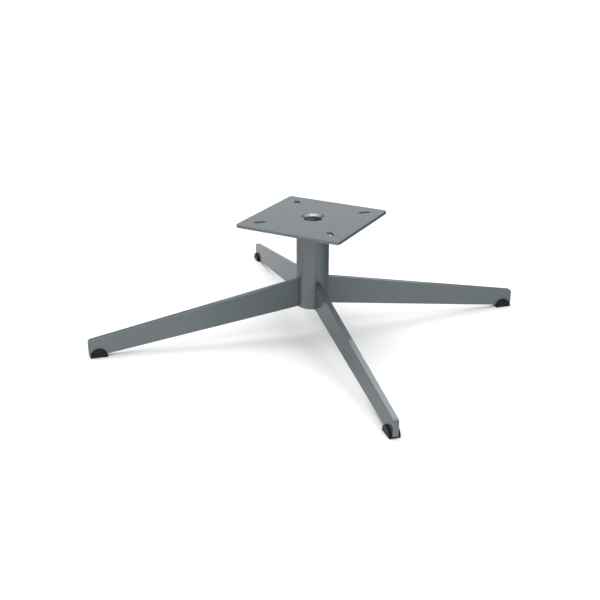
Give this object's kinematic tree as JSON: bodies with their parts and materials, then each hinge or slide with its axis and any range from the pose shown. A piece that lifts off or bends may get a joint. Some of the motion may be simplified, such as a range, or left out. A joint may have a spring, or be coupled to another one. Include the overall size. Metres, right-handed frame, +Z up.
{
  "type": "sofa leg",
  "caption": "Low steel star base for a sofa or armchair: slotted square top plate, short round column, tapered flat arms and half-round plastic glides.",
  "frame": {"origin": "on the floor under the column's axis, at the centre of the base's footprint", "axes": "+Z up along the column, +X and +Y along the arms, with the plate's corners pointing along X and Y"},
  "size_m": [0.695, 0.695, 0.185],
  "materials": {
    "steel_coat": "satin blue-grey powder coat",
    "glide_plastic": "fine matt black"
  },
  "bodies": {
    "root": {"top_plate": "steel_coat", "column": "steel_coat", "arm_right": "steel_coat", "arm_back": "steel_coat", "arm_left": "steel_coat", "arm_front": "steel_coat", "glide_right": "glide_plastic", "glide_back": "glide_plastic", "glide_left": "glide_plastic", "glide_front": "glide_plastic"}
  },
  "joints": []
}
